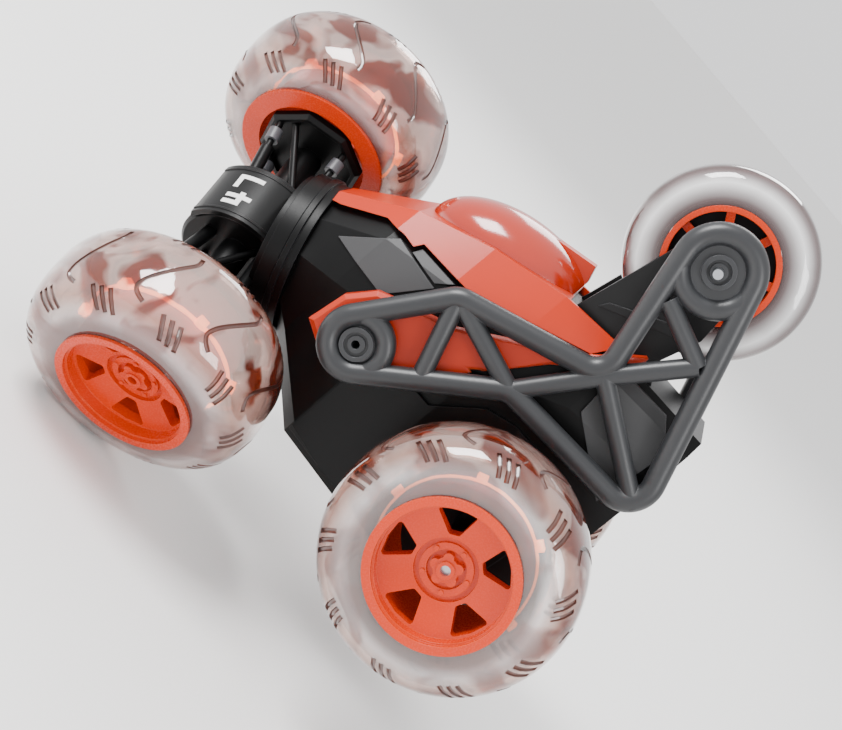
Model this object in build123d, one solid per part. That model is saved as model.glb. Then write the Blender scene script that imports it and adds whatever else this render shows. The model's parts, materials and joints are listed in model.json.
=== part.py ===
from build123d import *
import math
import os

# Remote-control stunt car: a faceted body on four balloon wheels, a front axle module that twists about
# a sloping axis in the nose, and a fifth wheel held high behind on two tube frames.
# Frame: +X forward, +Y left, +Z up, millimetres. The origin is the centre of the flat underside.

# ---- driving dimensions -------------------------------------------------------------------------
WHEELBASE = 114.0
TRACK = 115.0                # between the middle planes of the left and right tyres
AXLE_HEIGHT = 26.0           # rear axle above the flat underside
REAR_X = -40.0
FRONT_X = REAR_X + WHEELBASE
WHEEL_Y = TRACK / 2

TYRE_RADIUS = 38.0
TYRE_HALF_WIDTH = 17.4
TYRE_WALL = 2.0
RIM_LIP_RADIUS = 22.0
RIM_LIP_Y = 18.6             # outer lip, from the tyre's middle plane
RIM_INNER_RADIUS = 25.5

TWIST_SLOPE = 22.9           # the twist axis dips forward by this angle
TWIST_REST = -38.8           # angle of the front module in the stored pose
COLLAR_RADIUS = 25.5
COLLAR_BACK = -22.0          # along the twist axis, from the front axle's middle
COLLAR_FRONT = -17.5

TAIL_RADIUS = 29.4
TAIL_HALF_WIDTH = 9.0
TAIL_RIM_RADIUS = 17.7

FRAME_TUBE = 3.4             # radius of the side frames' tubes
FRAME_FRONT = (23.5, 40.0, 39.5)
FRAME_HUB = (-27.0, 26.0, 129.5)
FRONT_RING = 8.4
HUB_RING = 10.8

WALL = 2.4
SHAFT = 1.5                  # radius of the steel axles
FIT = 0.05                   # radial clearance of a shaft that turns in a hole
GAP = 0.3

GEAR_MODULE = 0.8
GEAR_TEETH = 30
PINION_TEETH = 10
GEAR_WIDTH = 3.0
MOTOR_RADIUS = 7.6
GEAR_PITCH = GEAR_MODULE * GEAR_TEETH / 2
PINION_PITCH = GEAR_MODULE * PINION_TEETH / 2
GEAR_SPACING = GEAR_PITCH + PINION_PITCH

SPOKES = 5
HUB_RADIUS = 8.5
DISH_Y = 11.5                # plane of the spokes' outer face
TAIL_SPOKES = 7

# Each station holds x, then half-width and height of the floor edge, the sill, the shoulder below the
# flank, the flank's upper edge and the crest.
STATIONS = [
    (-63, (22, 9), (24, 12), (24, 76), (21, 88), (17, 93)),
    (-30, (25, 0), (27, 3), (27, 72), (24, 86), (17, 92)),
    (-5, (28, 0), (30, 3), (30, 59), (26, 76), (18, 89)),
    (19, (24, 0), (28.5, 6), (31, 50), (27, 68), (18, 82)),
    (42, (15, 14.5), (21.5, 20), (27, 43), (24, 62), (17, 72)),
]

AXLE_BOSS = 6.0              # radius of the bosses on the rear axle
BOSS_END = 48.0
PIVOT_BOSS = 6.6
COVER_SIZE = (44.0, 30.0)
COVER_X = 0.0
COVER_SCREW_X = 19.0
POSTS = [(x, y) for x in (-11.0, 11.0) for y in (-20.5, 20.5)]
BOARD_Z = 42.0
SWITCH_Z = 40.0
SOCKET_Y = 13.0
SWITCH_TRAVEL = 4.8
SPINDLE_RADIUS = 4.0
BULKHEAD = (-27.5, -25.0)
MOTOR_LENGTH = 12.0
MOTOR_SHAFT = 6.4
REAR_MOTOR_Y = 2.2
REAR_GEAR_Y = 18.4
TWIST_GEAR_S = -34.0         # places along the twist axis, from the front axle's middle
TWIST_MOTOR_S = -36.4

# Outlines in side view, as (x, z) points.
LOWER_PANEL = [(18.5, 3.4), (18.5, 29.5), (4.3, 41.6), (-3.1, 41.6), (-14.8, 54.0), (-24.0, 57.0),
               (-46.0, 57.0), (-52.0, 30.0), (-50.0, 3.4)]
GREY_FACET = [(52.0, 51.5), (39.2, 65.6), (21.6, 64.6), (30.4, 51.5)]
GREY_LOUVRE = [(33.8, 66.0), (32.6, 68.6), (18.5, 69.8), (22.6, 65.6)]
REAR_FACET = [(-31.0, 90.0), (-33.0, 74.0), (-56.0, 60.0), (-58.0, 84.0), (-50.0, 91.0)]
SHELL_SIDE = [(72.0, 50.0), (59.5, 56.5), (46.6, 65.9), (39.2, 67.4), (34.8, 67.4), (33.3, 70.0),
              (15.6, 71.8), (-22.0, 86.6), (-25.5, 92.0), (-24.5, 110.0), (72.0, 110.0)]
FAIRING = [(38.2, 33.2), (36.6, 45.5), (31.0, 53.5), (22.0, 58.0), (9.0, 63.5), (-21.0, 86.0), (-34.0, 99.0),
           (-34.5, 94.0), (-17.4, 76.5), (-9.0, 63.0), (6.0, 41.5), (13.7, 31.3), (32.2, 30.5)]
FAIRING_DEPTH = 9.0

# Front module, in its own frame: X along the twist axis, Y to its left.
DRUM_RADIUS = 19.5
TURNTABLE_RADIUS = 25.5
HOUSING_AXIS = (1.0, -5.0)    # x and z of the line that the core and its cover are round
HOUSING_RADIUS = 18.4
COVER_WALL = 1.8
HOUSING_HALF = 10.5
KNUCKLE_Y = 37.0
KNUCKLE_RADIUS = 18.4

# Rods from the housing to the left knuckle plate, in the module's own frame.
DAMPERS = [((9.0, 9.0, 3.0), (12.0, 38.5, 9.5)), ((-9.0, 9.0, 2.0), (-11.5, 38.5, 9.0))]
LINKS = [((10.0, 9.0, -8.0), (12.5, 38.5, -8.0)), ((-9.0, 9.0, -9.0), (-12.5, 38.5, -8.0)),
         ((-8.0, 9.0, 4.0), (7.0, 38.5, 11.5))]

# Corners of the side frame in side view, as (x, z).
PEAK = (14.6, 70.3)
VALLEY = (-29.0, 86.6)
LOW_JOINT = (-14.7, 63.7)
LOW_CORNER = (-66.8, 66.4)
REAR_JOINT = (-44.0, 108.0)
TOP_JOINT = (-24.0, 114.0)

FORK = [(-7.0, 80.0), (-15.2, 128.5), (-37.6, 127.0), (-40.0, 112.0), (-36.5, 98.0), (-46.0, 86.0),
        (-46.0, 80.0)]
FORK_RIB = [(-13.0, 96.0), (-14.5, 99.0), (-36.0, 112.0), (-36.5, 108.0)]
FORK_Y = (12.0, 15.0)

SIDES = ("left", "right")

PARTS = {}


# ---- frames of reference ------------------------------------------------------------------------
slope = math.radians(TWIST_SLOPE)
turn = math.radians(TWIST_REST)
TWIST_AXIS = Vector(math.cos(slope), 0, -math.sin(slope))
NOSE_UP = Vector(math.sin(slope), 0, math.cos(slope))
MODULE_UP = NOSE_UP * math.cos(turn) - Vector(0, 1, 0) * math.sin(turn)
FRONT_CENTRE = Vector(FRONT_X, 0, AXLE_HEIGHT)

nose_frame = Plane(origin=FRONT_CENTRE, x_dir=TWIST_AXIS, z_dir=NOSE_UP).location
module_frame = Plane(origin=FRONT_CENTRE, x_dir=TWIST_AXIS, z_dir=MODULE_UP).location


def along_x(radius, x0, x1, y=0.0, z=0.0):
    """Cylinder about a line parallel to X."""
    return Pos((x0 + x1) / 2, y, z) * Rot(0, 90, 0) * Cylinder(radius, abs(x1 - x0))


def along_y(radius, y0, y1, x=0.0, z=0.0):
    """Cylinder about a line parallel to Y."""
    return Pos(x, (y0 + y1) / 2, z) * Rot(90, 0, 0) * Cylinder(radius, abs(y1 - y0))


def rod(start, end, radius):
    """Cylinder between two points."""
    run = Vector(*end) - Vector(*start)
    middle = (Vector(*start) + Vector(*end)) * 0.5
    return Plane(origin=middle, z_dir=run).location * Cylinder(radius, run.length)


def side_plate(points, y0, y1):
    """Plate with the outline (x, z) between two values of y."""
    face = make_face(Polyline(*[(x, z) for x, z in points], close=True))
    upright = Plane(origin=(0, y1, 0), x_dir=(1, 0, 0), z_dir=(0, -1, 0)).location
    return upright * extrude(face, y1 - y0)


def turned(points):
    """Solid of revolution about Y from an outline of (radius, y) points."""
    outline = Polyline(*[(r, y, 0) for r, y in points], close=True)
    return revolve(make_face(outline), Axis.Y)


def save(name, shape):
    """Keep a node and write its STEP file."""
    PARTS[name] = shape
    export_step(shape, f"parts/{name}.step")


# ---- gears --------------------------------------------------------------------------------------
def gear(teeth, width, bore, backlash=0.12):
    """Straight involute gear about Z, from z = 0 to z = width, with a gap between teeth on +X."""
    pitch = GEAR_MODULE * teeth / 2
    base = pitch * math.cos(math.radians(20))
    outer = pitch + 0.9 * GEAR_MODULE
    root = pitch - 1.2 * GEAR_MODULE
    inv20 = math.tan(math.radians(20)) - math.radians(20)
    half_pitch_angle = (math.pi / 2 - backlash / GEAR_MODULE) / teeth
    flank = []
    start = max(base, root + 0.05)
    for step in range(5):
        radius = start + (outer - start) * step / 4
        press = math.acos(min(1.0, base / radius))
        half = half_pitch_angle + inv20 - (math.tan(press) - press)
        flank.append((radius, half))
    outline = []
    for tooth in range(teeth):
        middle = 2 * math.pi * (tooth + 0.5) / teeth
        corner = [(root, flank[0][1])] + flank
        for radius, half in corner:
            outline.append((radius * math.cos(middle - half), radius * math.sin(middle - half)))
        for radius, half in reversed(corner):
            outline.append((radius * math.cos(middle + half), radius * math.sin(middle + half)))
    blank = extrude(make_face(Polyline(*outline, close=True)), width)
    return blank - Pos(0, 0, width / 2) * Cylinder(bore, 2 * width)


def motor(length, shaft_out):
    """Small can motor about Z: the can ends at z = 0 and the shaft stands out to z = shaft_out."""
    can = Pos(0, 0, -length / 2) * Cylinder(MOTOR_RADIUS, length)
    nose = Pos(0, 0, 0.6) * Cylinder(2.6, 1.2)
    tail = Pos(0, 0, -length - 0.9) * Cylinder(3.0, 1.8)
    shaft = Pos(0, 0, shaft_out / 2) * Cylinder(0.8, shaft_out)
    return can + nose + tail + shaft


# ---- road wheels --------------------------------------------------------------------------------
def tyre_profile(inset):
    """Half outline of the balloon tyre's section as (radius, y) points, shrunk by inset."""
    crown = TYRE_RADIUS - inset
    side = TYRE_HALF_WIDTH - inset
    points = []
    for step in range(13):
        a = math.radians(-90 + 15 * step)
        bulge = abs(math.cos(a)) ** 0.75
        width = side * math.copysign(abs(math.sin(a)) ** 0.75, math.sin(a))
        points.append((RIM_INNER_RADIUS - 1 + (crown - RIM_INNER_RADIUS + 1) * bulge, width))
    return points


def road_tyre():
    """Hollow balloon tyre about Y, with an inner foot on the rim at each side."""
    outer = tyre_profile(0)
    inner = tyre_profile(TYRE_WALL)
    outer_line = Spline(*[(r, y, 0) for r, y in outer])
    inner_line = Spline(*[(r, y, 0) for r, y in inner])
    out_end = (RIM_LIP_RADIUS - 0.9, TYRE_HALF_WIDTH)
    in_end = (RIM_INNER_RADIUS - 3.4, -TYRE_HALF_WIDTH)
    foot_out = (RIM_LIP_RADIUS - 0.9, TYRE_HALF_WIDTH - TYRE_WALL)
    foot_in = (RIM_INNER_RADIUS - 3.4, -TYRE_HALF_WIDTH + TYRE_WALL)
    edges = [
        outer_line,
        Line((*outer[-1], 0), (*out_end, 0)),
        Line((*out_end, 0), (*foot_out, 0)),
        Line((*foot_out, 0), (*inner[-1], 0)),
        inner_line,
        Line((*inner[0], 0), (*foot_in, 0)),
        Line((*foot_in, 0), (*in_end, 0)),
        Line((*in_end, 0), (*outer[0], 0)),
    ]
    return revolve(make_face(edges), Axis.Y)


def road_rim():
    """Dished rim about Y: ringed lip, five broad spokes, deep barrel and a wide inner flange."""
    barrel = turned([
        (RIM_LIP_RADIUS - 2.6, RIM_LIP_Y),
        (RIM_LIP_RADIUS, RIM_LIP_Y),
        (RIM_LIP_RADIUS, RIM_LIP_Y - 1.0),
        (RIM_LIP_RADIUS - 1.0, RIM_LIP_Y - 1.0),
        (RIM_LIP_RADIUS - 1.0, 2.0),
        (RIM_INNER_RADIUS - 3.6, -10.0),
        (RIM_INNER_RADIUS - 3.6, -TYRE_HALF_WIDTH - 0.1),
        (RIM_INNER_RADIUS, -TYRE_HALF_WIDTH - 0.1),
        (RIM_INNER_RADIUS, -TYRE_HALF_WIDTH - 1.1),
        (RIM_INNER_RADIUS - 6.4, -TYRE_HALF_WIDTH - 1.1),
        (RIM_INNER_RADIUS - 6.4, -9.0),
        (RIM_LIP_RADIUS - 3.2, 1.0),
        (RIM_LIP_RADIUS - 3.2, RIM_LIP_Y - 1.4),
        (RIM_LIP_RADIUS - 2.6, RIM_LIP_Y - 1.4),
    ])
    disc = turned([
        (SHAFT, DISH_Y - 5.0),
        (HUB_RADIUS, DISH_Y - 5.0),
        (RIM_LIP_RADIUS - 3.0, DISH_Y - 1.0),
        (RIM_LIP_RADIUS - 3.0, DISH_Y + 2.2),
        (HUB_RADIUS + 0.6, DISH_Y),
        (HUB_RADIUS + 0.6, DISH_Y - 1.4),
        (HUB_RADIUS - 0.9, DISH_Y - 1.4),
        (HUB_RADIUS - 0.9, DISH_Y - 0.4),
        (5.6, DISH_Y - 0.4),
        (5.6, DISH_Y - 1.6),
        (SHAFT, DISH_Y - 1.6),
    ])
    corners = [(10.2, -1.5), (10.2, 1.5), (17.4, 5.9), (18.2, 0), (17.4, -5.9)]
    window = make_face(Polyline(*corners, close=True))
    window = fillet(window.vertices(), 0.9)
    across = Plane(origin=(0, DISH_Y - 12, 0), x_dir=(1, 0, 0), z_dir=(0, 1, 0)).location
    cutter = across * extrude(window, 24)
    for spoke in range(SPOKES):
        disc -= Rot(0, 360 * spoke / SPOKES + 90, 0) * cutter
    hub = along_y(4.2, -8.0, DISH_Y - 5.0) - along_y(SHAFT, -9.0, DISH_Y)
    bolts = [
        Rot(0, 360 * (spoke + 0.5) / SPOKES + 90, 0) * along_y(0.75, DISH_Y - 0.4, DISH_Y + 0.2, x=6.6)
        for spoke in range(SPOKES)
    ]
    rim = barrel + disc + hub
    for bolt in bolts:
        rim += bolt
    return rim


def wheel_cap():
    """Five-lobed centre cap about Y, with a raised ring and a hole."""
    lobes = along_y(3.6, DISH_Y - 1.6, DISH_Y + 0.4)
    for lobe in range(SPOKES):
        lobes += Rot(0, 360 * lobe / SPOKES + 90, 0) * along_y(1.5, DISH_Y - 1.6, DISH_Y + 0.4, x=3.4)
    ring = along_y(2.6, DISH_Y + 0.4, DISH_Y + 1.1)
    hole = along_y(SHAFT, DISH_Y - 3, DISH_Y + 3)
    return lobes + ring - hole


def light_ring():
    """Ring board with six small lamps, round the rim's barrel inside the tyre."""
    board = along_y(23.6, -2.0, -1.0) - along_y(22.9, -3.0, 0)
    lamps = [Rot(0, 60 * n, 0) * Pos(24.4, -1.5, 0) * Box(2.0, 2.6, 3.0) for n in range(6)]
    return [board] + lamps


# ---- body sections ------------------------------------------------------------------------------
def section(x, pairs, grow):
    """Ten-sided section across the body, moved outward by grow."""
    right = []
    for index, (y, z) in enumerate(pairs):
        lift = (-1.0, -0.4, 0.0, 0.6, 1.0)[index]
        spread = (0.4, 1.0, 1.0, 0.9, 0.6)[index]
        right.append((x, y + grow * spread, z + grow * lift))
    left = [(x, -y, z) for x, y, z in reversed(right)]
    return Polyline(*(right + left), close=True)


def collar_section(along, radius):
    """Ten-sided section round the twist axis, with its corners in step with the body's."""
    angles = (-62, -26, 12, 42, 70)
    right = [(radius * math.cos(math.radians(a)), radius * math.sin(math.radians(a))) for a in angles]
    points = right + [(-y, z) for y, z in reversed(right)]
    placed = [FRONT_CENTRE + TWIST_AXIS * along + Vector(0, y, 0) + NOSE_UP * z for y, z in points]
    return Polyline(*placed, close=True)


def body_block(grow):
    """The whole faceted body as one solid, from the tail to the collar."""
    faces = []
    for index, (x, *pairs) in enumerate(STATIONS):
        place = x - grow if index == 0 else x
        faces.append(make_face(section(place, pairs, grow)))
    faces.append(make_face(collar_section(COLLAR_BACK, COLLAR_RADIUS - 1.2 + grow)))
    pieces = [loft([back, front], ruled=True) for back, front in zip(faces, faces[1:])]
    block = pieces[0]
    for piece in pieces[1:]:
        block = block.fuse(piece)
    return block


def trimmed(skin, outline, y0=0.0, y1=60.0):
    """The part of a skin whose side view lies inside the outline, between two values of y."""
    return skin & side_plate(outline, y0, y1)


def mirrored(shape):
    """The same shape on the other side of the car's middle plane."""
    return mirror(shape, about=Plane.XZ)


def on_side(shape, side):
    """A left-hand shape as it is, or mirrored for the right."""
    return mirrored(shape) if side == "right" else shape


# ---- chassis ------------------------------------------------------------------------------------
FRAME_ALONG = (Vector(*FRAME_HUB) - Vector(*FRAME_FRONT)).normalized()
FRAME_ACROSS = Vector(FRAME_ALONG.Z, 0, -FRAME_ALONG.X).normalized()
FRAME_OUT = FRAME_ALONG.cross(FRAME_ACROSS)


def frame_plane(offset):
    """The left side frame's middle plane, moved outward by offset."""
    return Plane(origin=Vector(*FRAME_FRONT) + FRAME_OUT * offset, x_dir=FRAME_ALONG, z_dir=FRAME_OUT)


def frame_point(x, z):
    """Side-view point (x, z) as coordinates within the side frame's plane."""
    dx = x - FRAME_FRONT[0]
    dz = z - FRAME_FRONT[2]
    det = FRAME_ALONG.X * FRAME_ACROSS.Z - FRAME_ACROSS.X * FRAME_ALONG.Z
    along = (dx * FRAME_ACROSS.Z - FRAME_ACROSS.X * dz) / det
    across = (FRAME_ALONG.X * dz - FRAME_ALONG.Z * dx) / det
    return (along, across)


def outside_frame():
    """Everything outward of the left side frame's inner face, as a large block."""
    return frame_plane(-FRAME_TUBE).location * Pos(55, 0, 20) * Box(180, 90, 40)


def both_sides(shape):
    """A left-hand shape and its mirror image."""
    return [shape, mirrored(shape)]


def chassis_tub(block):
    """Hollow faceted tub with axle bosses, pivot bosses, board posts and the nose bearing."""
    tub = block - body_block(-WALL)
    wall = nose_frame * along_x(24.0, *BULKHEAD)
    tub += wall & body_block(-1.0)
    for x, y in POSTS:
        tub += Pos(x, y, BOARD_Z / 2 + 0.5) * Cylinder(2.0, BOARD_Z - 1.0)
    bracket = Pos(REAR_X, 6.0, 16.0) * Box(9.0, 3.0, 30.0)
    boss = along_y(AXLE_BOSS, 24.0, BOSS_END, REAR_X, AXLE_HEIGHT)
    pivot = along_y(PIVOT_BOSS, 26.0, FRAME_FRONT[1] + 3.0, FRAME_FRONT[0], FRAME_FRONT[2])
    pivot -= outside_frame()
    for shape in (bracket, boss, pivot):
        for copy in both_sides(shape):
            tub += copy
    for side in (1, -1):
        tub -= along_y(SHAFT + FIT, side * 2.0, side * 60.0, REAR_X, AXLE_HEIGHT)
        tub -= along_y(1.2, side * 30.0, side * 50.0, FRAME_FRONT[0], FRAME_FRONT[2])
    tub -= nose_frame * along_x(SPINDLE_RADIUS + FIT, -40.0, -20.0)
    tub -= Pos(COVER_X, 0, 0) * Box(COVER_SIZE[0], COVER_SIZE[1], 12.0)
    tub -= Pos(-63, 0, SWITCH_Z) * Box(12, 10.4, 4.6)
    tub -= along_x(3.2, -68.0, -50.0, SOCKET_Y, SWITCH_Z)
    for slat in range(3):
        for side in (1, -1):
            tub -= Pos(-63, side * 12.0, 62.0 + 6.0 * slat) * Box(12, 14.0, 2.4)
    return tub


def lower_panel(block):
    """Raised panel low on the left flank, round the axle boss."""
    skin = body_block(1.6) - block
    return trimmed(skin, LOWER_PANEL, 12.0) - along_y(AXLE_BOSS, 10, 60, REAR_X, AXLE_HEIGHT)


def facet_panels(block):
    """Thin grey inserts on the left flank: a facet, a louvre above it and one at the tail."""
    skin = body_block(0.9) - block
    return [trimmed(skin, outline, 12.0) for outline in (GREY_FACET, GREY_LOUVRE, REAR_FACET)]


def top_shell(block):
    """Orange hood and flanks, open behind the canopy, with a short fin on the spine."""
    skin = body_block(2.2) - block
    shell = trimmed(skin, SHELL_SIDE, -60.0)
    shell -= Pos(-36.5, 0, 96) * Box(60.0, 35.0, 30.0)
    fin = side_plate([(24.0, 80.0), (10.0, 97.4), (-4.0, 101.0), (-6.0, 96.0), (-6.0, 88.0)], -3.0, 3.0)
    return shell + (fin - block)


def canopy(block):
    """Rounded glossy dome standing on the hood and round the fin."""
    dome = Pos(15.0, 0, 82.0) * Rot(0, 17, 0) * scale(Sphere(10), by=(2.7, 1.72, 1.44))
    dome &= Pos(18.0, 0, 90.0) * Box(48.0, 60.0, 60.0)
    return dome - body_block(2.2)


def side_fairing(block):
    """Orange blade that runs from the pivot boss to the tail, just inside the side frame."""
    outline = [frame_point(x, z) for x, z in FAIRING]
    face = make_face(Polyline(*outline, close=True))
    blade = frame_plane(-FRAME_TUBE - GAP - FAIRING_DEPTH).location * extrude(face, FAIRING_DEPTH)
    outer_face = blade.faces().sort_by(SortBy.AREA)[-2:].sort_by(Axis.Y)[-1]
    blade = chamfer(outer_face.edges(), 1.4)
    blade -= along_y(PIVOT_BOSS, 10, 60, FRAME_FRONT[0], FRAME_FRONT[2])
    return blade - block - body_block(2.2)


def collar_hoop():
    """Round hoop on the end of the nose, with a lip at its front edge."""
    hoop = along_x(COLLAR_RADIUS, COLLAR_BACK, COLLAR_FRONT) - along_x(21.0, -30, 0)
    lip = along_x(COLLAR_RADIUS + 0.8, -19.4, COLLAR_FRONT) - along_x(COLLAR_RADIUS, -30, 0)
    return nose_frame * (hoop + lip)


def battery_cover():
    """Ribbed hatch in the underside, with a hole and a seat for its screw."""
    length, width = COVER_SIZE[0] - 0.4, COVER_SIZE[1] - 0.4
    cover = Pos(COVER_X, 0, 1.2) * Box(length, width, 2.4)
    for rib in range(4):
        cover -= Pos(COVER_X - 18 + 3 * rib, 0, 0) * Box(1.2, 16.0, 1.0)
    hole = Pos(COVER_X + COVER_SCREW_X, 0, 1.2) * Cylinder(1.2, 4)
    seat = Pos(COVER_X + COVER_SCREW_X, 0, 0) * Cylinder(2.2, 2.0)
    return cover - hole - seat


def battery_pack():
    """Block of cells on the underside's floor, with rounded long edges."""
    cells = Pos(COVER_X - 1, 0, 10.0) * Box(32.0, 33.0, 13.0)
    return fillet(cells.edges().filter_by(Axis.X), 3.0)


def circuit_board():
    """Board on the four posts, with chips and one tall capacitor."""
    board = Pos(0, 0, BOARD_Z + 0.8) * Box(30.0, 46.0, 1.6)
    chips = [(-6, 6, 8, 8, 1.6), (6, -8, 6, 10, 1.4), (-8, -12, 5, 5, 2.6), (8, 12, 6, 4, 3.0)]
    for x, y, length, width, height in chips:
        board += Pos(x, y, BOARD_Z + 1.6 + height / 2) * Box(length, width, height)
    return board + Pos(0, 16, BOARD_Z + 5) * Cylinder(2.6, 7.0)


def charging_socket():
    """Round socket in the tail wall, with its centre pin."""
    barrel = along_x(3.2, -63.4, -52.0, SOCKET_Y, SWITCH_Z) - along_x(1.9, -64, -54, SOCKET_Y, SWITCH_Z)
    return barrel + along_x(0.5, -62.0, -53.0, SOCKET_Y, SWITCH_Z)


def power_switch():
    """Knob through the slot in the tail wall, held by a flange inside, at its off end."""
    off = -SWITCH_TRAVEL / 2
    knob = Pos(-62.0, off, SWITCH_Z) * Box(5.2, 5.0, 4.0)
    return knob + Pos(-59.6, off, SWITCH_Z) * Box(1.4, 9.0, 7.0)


def rear_motor():
    """Left drive motor, its shaft pointing outward through the pinion."""
    place = Pos(REAR_X + GEAR_SPACING, REAR_MOTOR_Y + MOTOR_LENGTH + 1.8, AXLE_HEIGHT)
    return place * Rot(-90, 0, 0) * motor(MOTOR_LENGTH, MOTOR_SHAFT)


def body_screw():
    """Slotted screw that holds the battery cover."""
    head = Pos(COVER_X + COVER_SCREW_X, 0, 0.35) * Cylinder(2.0, 0.7)
    thread = Pos(COVER_X + COVER_SCREW_X, 0, 3) * Cylinder(1.1, 4.8)
    return head + thread - Pos(COVER_X + COVER_SCREW_X, 0, 0) * Box(3.0, 0.5, 0.8)


# ---- front module, in its own frame ---------------------------------------------------------------
def axle_housing():
    """Round turntable and drum, the housing's core and the axle tube that joins the knuckle plates."""
    x, z = HOUSING_AXIS
    drum = along_x(DRUM_RADIUS, -21.5, -13.5)
    drum += along_x(TURNTABLE_RADIUS, COLLAR_FRONT + GAP, -12.5)
    drum += along_x(TURNTABLE_RADIUS - 1.6, -14.0, -10.5)
    core = along_y(HOUSING_RADIUS, -HOUSING_HALF, HOUSING_HALF, x, z)
    core = chamfer(core.edges(), 1.2)
    tube = along_y(5.0, -KNUCKLE_Y, KNUCKLE_Y)
    return drum + core + tube


def number_cover(housing):
    """Curved cover over the housing with a raised line near each edge."""
    x, z = HOUSING_AXIS
    half = HOUSING_HALF + 0.8
    band = along_y(HOUSING_RADIUS + COVER_WALL, -half, half, x, z) - along_y(HOUSING_RADIUS, -30, 30, x, z)
    band &= Pos(x + 1.0, 0, z + 20) * Box(28.5, 40, 30.0)
    top_only = Pos(x + 1.0, 0, z + 20) * Box(28.5, 40, 30)
    for y in (half - 2.2, 1.4 - half):
        ridge = along_y(HOUSING_RADIUS + COVER_WALL + 0.3, y, y + 0.8, x, z)
        band += (ridge - along_y(HOUSING_RADIUS + 1.0, -30, 30, x, z)) & top_only
    return band - housing


def knuckle_plate():
    """Octagonal plate with a raised edge on its inner side and the stub the wheel turns on."""
    outline = RegularPolygon(KNUCKLE_RADIUS, 8, rotation=10)
    plate = extrude(outline, 3.4)
    plate = chamfer(plate.faces().sort_by(Axis.Z)[0].edges(), 1.2)
    dish = Pos(0, 0, -0.1) * extrude(RegularPolygon(KNUCKLE_RADIUS - 2.6, 8, rotation=10), 1.7)
    plate -= dish
    plate = Pos(0, KNUCKLE_Y, 0) * Rot(-90, 0, 0) * plate
    stub = along_y(SHAFT - FIT, KNUCKLE_Y + 3.0, WHEEL_Y + 9.0)
    stub += along_y(3.4, KNUCKLE_Y + 3.0, WHEEL_Y - 8.6)
    return plate + stub - along_y(5.0, 0, KNUCKLE_Y)


def struts(solids):
    """Dampers and thin links between the housing and one knuckle plate."""
    bars = []
    for start, end in DAMPERS:
        run = Vector(*end) - Vector(*start)
        knee = Vector(*start) + run * 0.62
        bars.append(rod(start, knee, 2.1) + rod(knee, end, 1.2))
    bars += [rod(start, end, 1.2) for start, end in LINKS]
    cluster = bars[0]
    for bar in bars[1:]:
        cluster += bar
    for solid in solids:
        cluster -= solid
    return cluster


def strut_tips(cluster, solids):
    """Pale sleeves near the outer end of each damper and link."""
    tips = []
    for start, end in DAMPERS + LINKS[:2]:
        run = Vector(*end) - Vector(*start)
        sleeve = rod(Vector(*start) + run * 0.72, Vector(*start) + run * 0.86, 2.3)
        sleeve -= cluster
        for solid in solids:
            sleeve -= solid
        tips.append(sleeve)
    return tips


def twist_spindle():
    """Spindle that carries the front module, with the gear that turns it."""
    spindle = along_x(SPINDLE_RADIUS, TWIST_GEAR_S - 1.0, -21.5)
    wheel = Pos(TWIST_GEAR_S, 0, 0) * Rot(0, 90, 0) * gear(GEAR_TEETH, GEAR_WIDTH, SPINDLE_RADIUS - 0.5)
    return spindle + wheel


# ---- side frames, fork and tail wheel -------------------------------------------------------------
def touch_point(centre, radius, outside, side):
    """Where the line from an outside point touches a circle."""
    dx, dy = outside[0] - centre[0], outside[1] - centre[1]
    angle = math.atan2(dy, dx) + side * math.acos(radius / math.hypot(dx, dy))
    return (centre[0] + radius * math.cos(angle), centre[1] + radius * math.sin(angle))


def part_way(start, end, share):
    """The point a given share of the way from start to end."""
    return (start[0] + (end[0] - start[0]) * share, start[1] + (end[1] - start[1]) * share)


def side_frame():
    """Tube frame in its plane: a closed outline tube, six web tubes, and a ringed disc at each end."""
    front = (0.0, 0.0)
    hub = frame_point(FRAME_HUB[0], FRAME_HUB[2])
    peak, valley, low, corner, rear, top = [
        frame_point(*p) for p in (PEAK, VALLEY, LOW_JOINT, LOW_CORNER, REAR_JOINT, TOP_JOINT)]
    front_top = touch_point(front, FRONT_RING, peak, 1)
    front_low = touch_point(front, FRONT_RING, low, -1)
    hub_left = touch_point(hub, HUB_RING, valley, -1)
    hub_right = touch_point(hub, HUB_RING, corner, 1)
    upper = FilletPolyline(front_top, peak, valley, hub_left, radius=7.0)
    lower = FilletPolyline(front_low, low, corner, hub_right, radius=8.0)
    nose = ThreePointArc(front_low, (-FRONT_RING, 0), front_top)
    tail = ThreePointArc(hub_left, (hub[0] + HUB_RING, hub[1]), hub_right)
    path = Wire([*upper.edges(), *tail.edges(), *lower.edges(), *nose.edges()])
    ring = Plane(origin=path @ 0, z_dir=path % 0).location * Circle(FRAME_TUBE)
    lower_mid = part_way(front_low, low, 0.42)
    near_corner = part_way(valley, corner, 0.91)
    webs = [(lower_mid, peak), (peak, low), (low, valley), (valley, rear), (valley, near_corner)]
    webs.append((top, rear))
    frame = sweep(ring, path=path)
    for start, end in webs:
        frame += rod((*start, 0), (*end, 0), FRAME_TUBE - 0.5)
    for centre, radius in ((front, FRONT_RING), (hub, HUB_RING)):
        frame += Pos(*centre, 0) * Torus(radius, FRAME_TUBE - 0.35)
        frame += Pos(*centre, -0.8) * Cylinder(radius, 3.0)
        frame += Pos(*centre, -FRAME_TUBE / 2) * Cylinder(radius - FRAME_TUBE, FRAME_TUBE)
        frame += Pos(*centre, 1.3) * (Cylinder(5.0, 1.6) - Cylinder(3.6, 4.0))
        frame += Pos(*centre, 1.0) * (Cylinder(2.6, 1.0))
    return frame


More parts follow.
